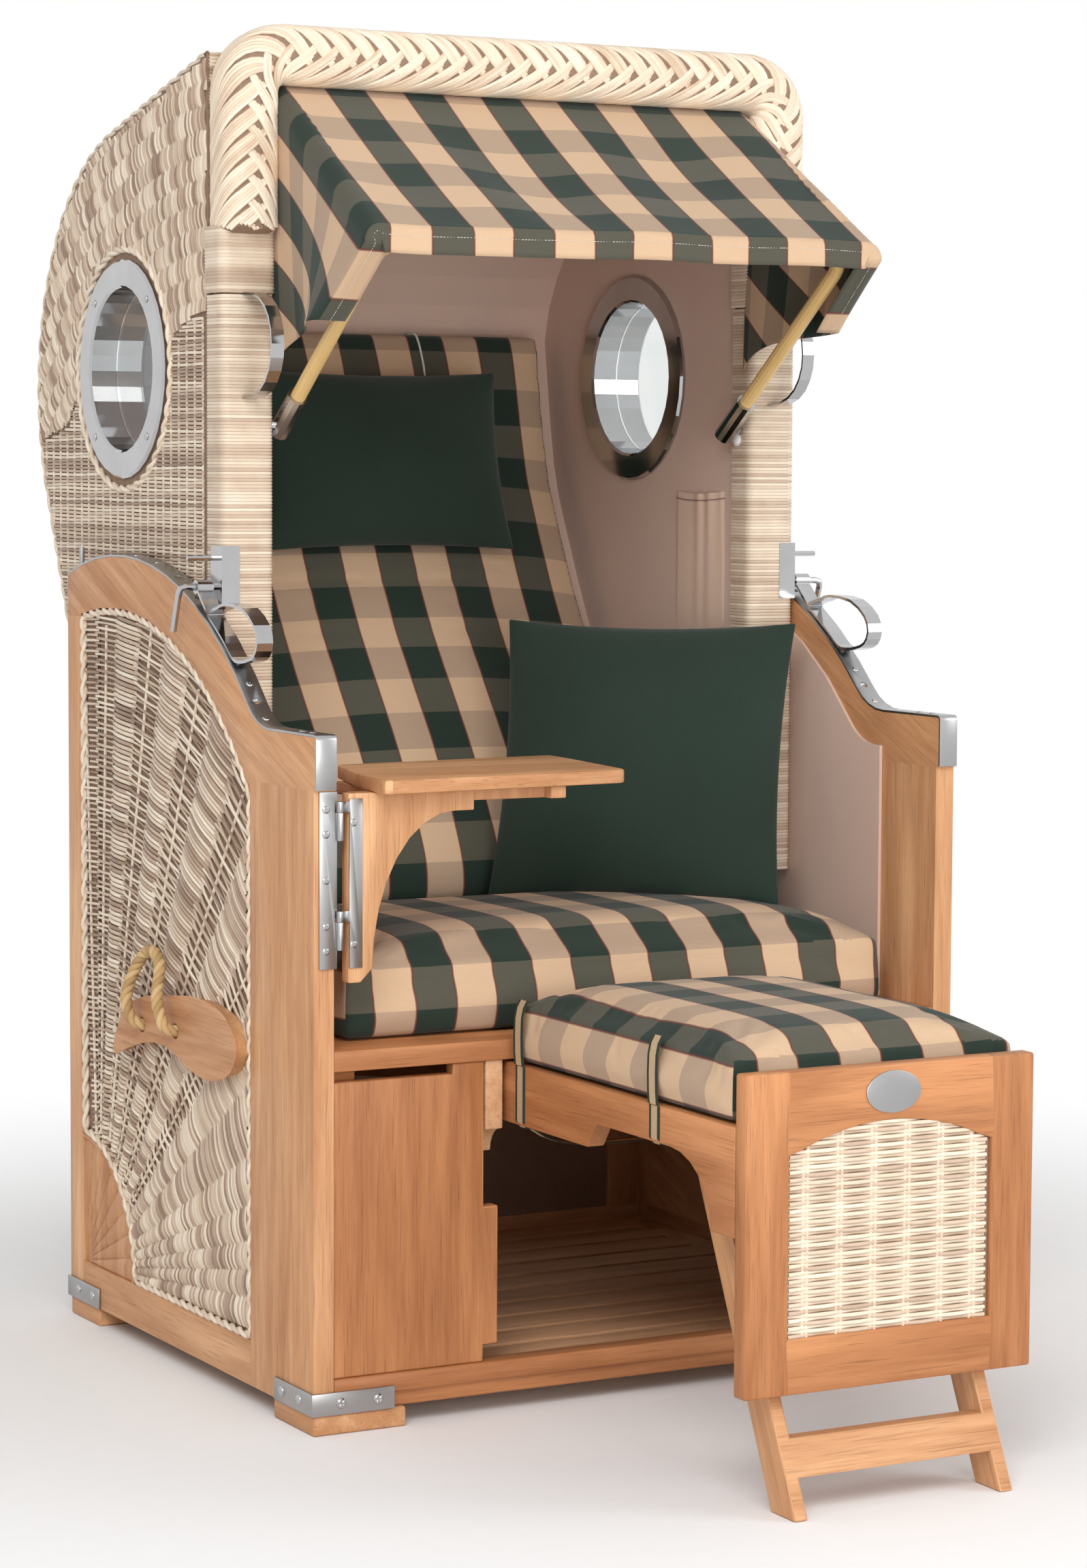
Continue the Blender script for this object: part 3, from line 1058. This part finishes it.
def make_hood_cushions():
    board = smooth(BACKREST, 3, closed=False)
    lengths = [0.0]
    for first, second in zip(board, board[1:]):
        lengths.append(lengths[-1] + (Vector(second) - Vector(first)).length)
    total = lengths[-1]
    stand = HOOD_LINING + 4 * GAP

    def lie(across, along, out):
        place = along + total / 2
        i = max(k for k in range(len(lengths) - 1) if lengths[k] <= place + GAP)
        t = (place - lengths[i]) / (lengths[i + 1] - lengths[i])
        run = (Vector(board[i + 1]) - Vector(board[i]))
        point = Vector(board[i]) + run * t
        normal = Vector((-run.y, run.x)).normalized()
        point += normal * (out + stand)
        return across, point.x, point.y

    add("back_cushion", cushion((2 * BACK_CUSHION_HALF_WIDTH, total, BACK_CUSHION), lie, edge_share=0.6,
                                pull_share=0.0, flat_back=True, cells=(10, 15), power=6),
        "check", "hood", True)

    tilt = Matrix.Rotation(math.pi / 2 - NECK_PILLOW_LEAN_ANGLE, 4, "X")

    def hang(across, along, out):
        return Vector((0, NECK_PILLOW_DEPTH, NECK_PILLOW_HEIGHT)) + tilt @ Vector((across, along, out))

    add("neck_pillow", cushion(NECK_PILLOW_SIZE, hang, edge_share=0.06, pull_share=0.05, power=2.2),
        "green", "hood", True)


# Canopy
def make_canopy():
    corner = Vector(BAIL_CORNER)
    along = (corner - Vector(BAIL_AXIS)).normalized()
    socket_end = Vector(BAIL_AXIS) + along * SOCKET_LENGTH
    x = BAIL_HALF_WIDTH
    bend = BAIL_BEND

    def arm(side):
        near = corner - along * bend
        turn = [(side * (x - bend * (1 - math.cos(a))), *(near + along * (bend * math.sin(a))))
                for a in [math.pi / 2 * i / 4 for i in range(5)]]
        start = socket_end + along * GAP
        return [(side * x, start.x, start.y)] + turn

    route = arm(-1) + arm(1)[::-1]
    add("canopy_rod", tube(route, BAIL_RADIUS, 12), "cream", "bail", True)
    for name, side in SIDES:
        start = Vector(BAIL_AXIS) - along * SOCKET_RADIUS
        sleeve = tube([(side * x, *start), (side * x, *socket_end)], SOCKET_RADIUS, 12)
        wall = POLE_INNER - GAP
        pin = prism("x", [circle(BAIL_AXIS, SOCKET_PIN_RADIUS, 10)], side * x, side * wall)
        add("canopy_socket_" + name, sleeve, "chrome", "bail", joined=(pin,))

    outer, inner = [[canopy_section(i / CANOPY_ROW_COUNT, inset) for i in range(CANOPY_ROW_COUNT + 1)]
                    for inset in (0, CANOPY)]
    add("canopy", sheet_solid(outer, inner), "check", "hood", True)


def canopy_section(t, inset):
    """One cross line of the canopy, from the left flap's hem over the top to the right one."""
    half = CANOPY_REAR_HALF_WIDTH + (CANOPY_FRONT_HALF_WIDTH - CANOPY_REAR_HALF_WIDTH) * t
    y = CANOPY_REAR[0] + (CANOPY_FRONT[0] - CANOPY_REAR[0]) * t
    z = CANOPY_REAR[1] + (CANOPY_FRONT[1] - CANOPY_REAR[1]) * t - inset
    drop = CANOPY_REAR_DROP + (CANOPY_FRONT_DROP - CANOPY_REAR_DROP) * t ** CANOPY_DROP_share
    half -= inset
    round_off = CANOPY_CORNER
    flap = [(half, z - drop), (half, z - drop / 2), (half, z - round_off)]
    turn = [(half - round_off * (1 - math.cos(a)), z - round_off * (1 - math.sin(a)))
            for a in [math.pi / 2 * k / 4 for k in range(1, 5)]]
    inner_half = half - round_off
    steps = CANOPY_OVER_COUNT
    over = [(inner_half * (1 - 2 * k / (steps + 1)), z) for k in range(1, steps + 1)]
    line = flap + turn + over + [(-a, b) for a, b in (turn[::-1] + flap[::-1])]
    section = []
    for x, height in line:
        fold = CANOPY_FOLD * math.sin(math.pi * t) * math.sin(CANOPY_FOLD_COUNT * math.pi * x / half)
        sag = CANOPY_SAG * math.sin(math.pi * t) * (1 - (x / half) ** 2)
        flutter = CANOPY_FOLD * math.sin(math.pi * 2 * t) * max(0, z - round_off - height) / drop
        section.append((x - math.copysign(flutter, x), y, height + fold * (abs(x) < inner_half) - sag))
    return section


def sheet_solid(outer, inner):
    """Two sheets of the same rows and columns, closed round their edge."""
    bm = bmesh.new()
    grids = [[[bm.verts.new(point) for point in row] for row in sheet] for sheet in (outer, inner)]
    for grid in grids:
        for row, following in zip(grid, grid[1:]):
            for i in range(1, len(row)):
                bm.faces.new((row[i - 1], row[i], following[i], following[i - 1]))
    rims = []
    for grid in grids:
        right, left = [row[-1] for row in grid[1:]], [row[0] for row in grid[-2:0:-1]]
        rims.append(grid[0] + right + grid[-1][-2::-1] + left)
    first, second = rims
    for i in range(len(first)):
        bm.faces.new((first[i - 1], first[i], second[i], second[i - 1]))
    bmesh.ops.recalc_face_normals(bm, faces=bm.faces)
    return bm


# Footrest
def make_footrest():
    panel_rear = FOOTREST_PANEL_FRONT + FOOTREST_PANEL
    front = panel_rear + GAP
    curve = [(FOOTREST_GUSSET_REAR + (FOOTREST_GUSSET_FRONT - FOOTREST_GUSSET_REAR) * math.sin(a),
              FOOTREST_GUSSET_BOTTOM + (FOOTREST_RAIL_BOTTOM - FOOTREST_GUSSET_BOTTOM) * math.cos(a))
             for a in [math.pi / 2 * i / 6 for i in range(7)]]
    outline = [(FOOTREST_RAIL_REAR, FOOTREST_RAIL_TOP), (FOOTREST_RAIL_REAR, FOOTREST_PAD_BOTTOM),
               (FOOTREST_PAD_FRONT, FOOTREST_PAD_BOTTOM),
               (FOOTREST_PAD_FRONT - FOOTREST_PAD_SLOPE, FOOTREST_RAIL_BOTTOM)]
    outline += curve + [(front, FOOTREST_GUSSET_BOTTOM), (front, FOOTREST_RAIL_TOP)]
    rails = []
    pegs = []
    inner = FOOTREST_HALF_WIDTH - FOOTREST_RAIL
    for name, side in SIDES:
        rails.append(prism("x", [outline], side * inner, side * FOOTREST_HALF_WIDTH))
        for depth in (GUIDE_PEG_DEPTH, GUIDE_PEG_DEPTH - GUIDE_PEG_PITCH):
            centre = (depth, slide_height(depth))
            pegs.append(prism("x", [circle(centre, GUIDE_PEG_RADIUS, 12)], side * (inner + GAP),
                              side * (RUNNER_INNER + GUIDE_PEG_REACH)))
    deck = box(-inner - GAP, inner + GAP, front, 0, FOOTREST_RAIL_TOP - FOOTREST_DECK, FOOTREST_RAIL_TOP)
    bar = box(-inner - GAP, inner + GAP, FOOTREST_RAIL_REAR - FOOTREST_CROSS_BAR, FOOTREST_RAIL_REAR,
              FOOTREST_RAIL_TOP - FOOTREST_CROSS_BAR_HEIGHT, FOOTREST_RAIL_TOP)
    add("footrest_frame", deck, "teak", "footrest", joined=(*rails, bar, *pegs))

    half = FOOTREST_HALF_WIDTH
    panel = rectangle(-half, half, FOOTREST_PANEL_BOTTOM, FOOTREST_PANEL_TOP)
    add("footrest_front", prism("y", [panel, footrest_opening(0)], FOOTREST_PANEL_FRONT, panel_rear),
        "teak", "footrest")
    middle = FOOTREST_PANEL_FRONT + FOOTREST_PANEL / 2
    add("footrest_wicker", prism("y", [footrest_opening(GAP)], middle - FOOTREST_WICKER / 2,
                                 middle + FOOTREST_WICKER / 2), "wicker", "footrest")
    centre = FOOTREST_CUSHION_REAR - FOOTREST_CUSHION_SIZE[1] / 2
    base = FOOTREST_RAIL_TOP + 2 * GAP
    add("footrest_cushion", cushion(FOOTREST_CUSHION_SIZE, lambda a, b, c: (a, centre + b, base + c),
                                    edge_share=0.75, pull_share=0.012, flat_back=True, cells=(12, 14),
                                    power=6), "check", "footrest", True)


def footrest_opening(inset):
    half = FOOTREST_HALF_WIDTH - FOOTREST_STILE - inset
    spring = half - FOOTREST_ARCH_SHOULDER
    rise = FOOTREST_ARCH_RISE
    radius = (spring ** 2 + rise ** 2) / (2 * rise)
    top = FOOTREST_ARCH_SPRING + rise - inset
    centre = (0, top - radius)
    span = math.asin(spring / radius)
    bottom = FOOTREST_PANEL_BOTTOM + FOOTREST_BOTTOM_RAIL + inset
    shoulder = top - rise - FOOTREST_ARCH_SHOULDER / 3
    return [(-half, bottom), (half, bottom), (half, shoulder)] + arc(
        centre, radius, math.pi / 2 - span, math.pi / 2 + span, math.radians(6)) + [(-half, shoulder)]


def leg_point(height, across):
    """A point on the leaning leg's side view; across is -1 at its front edge and 1 at its rear edge."""
    return (LEG_FOOT + height * LEG_SLOPE_share + across * LEG_HALF_RUN, height)


def make_leg():
    radius = LEG_DEPTH / 2
    lean = LEG_LEAN_ANGLE
    head = arc(LEG_PIVOT, radius, -lean, math.pi - lean, math.radians(30))
    outline = head + [leg_point(0, -1), leg_point(0, 1)]
    legs = [prism("x", [outline], side * (LEG_HALF_WIDTH - LEG), side * LEG_HALF_WIDTH) for _, side in SIDES]
    reach = LEG_HALF_WIDTH - LEG + GAP
    low, high = LEG_BAR_BOTTOM, LEG_BAR_BOTTOM + LEG_BAR_HEIGHT
    face = -LEG_BAR_share
    section = [leg_point(low, -1), leg_point(low, face), leg_point(high, face), leg_point(high, -1)]
    bar = prism("x", [section], -reach, reach)
    wall = FOOTREST_HALF_WIDTH - FOOTREST_RAIL - GAP
    pin = circle(LEG_PIVOT, LEG_PIN_RADIUS, 12)
    pins = [prism("x", [pin], side * (LEG_HALF_WIDTH - LEG / 2), side * wall) for _, side in SIDES]
    add("leg_frame", bar, "teak", "leg", joined=(*legs, *pins))


clear_scene()
BODIES = make_bodies()
FINISHES = {name: make_material(name, *values) for name, values in make_finishes().items()}
make_base()
make_table()
make_hood()
make_footrest()
make_leg()
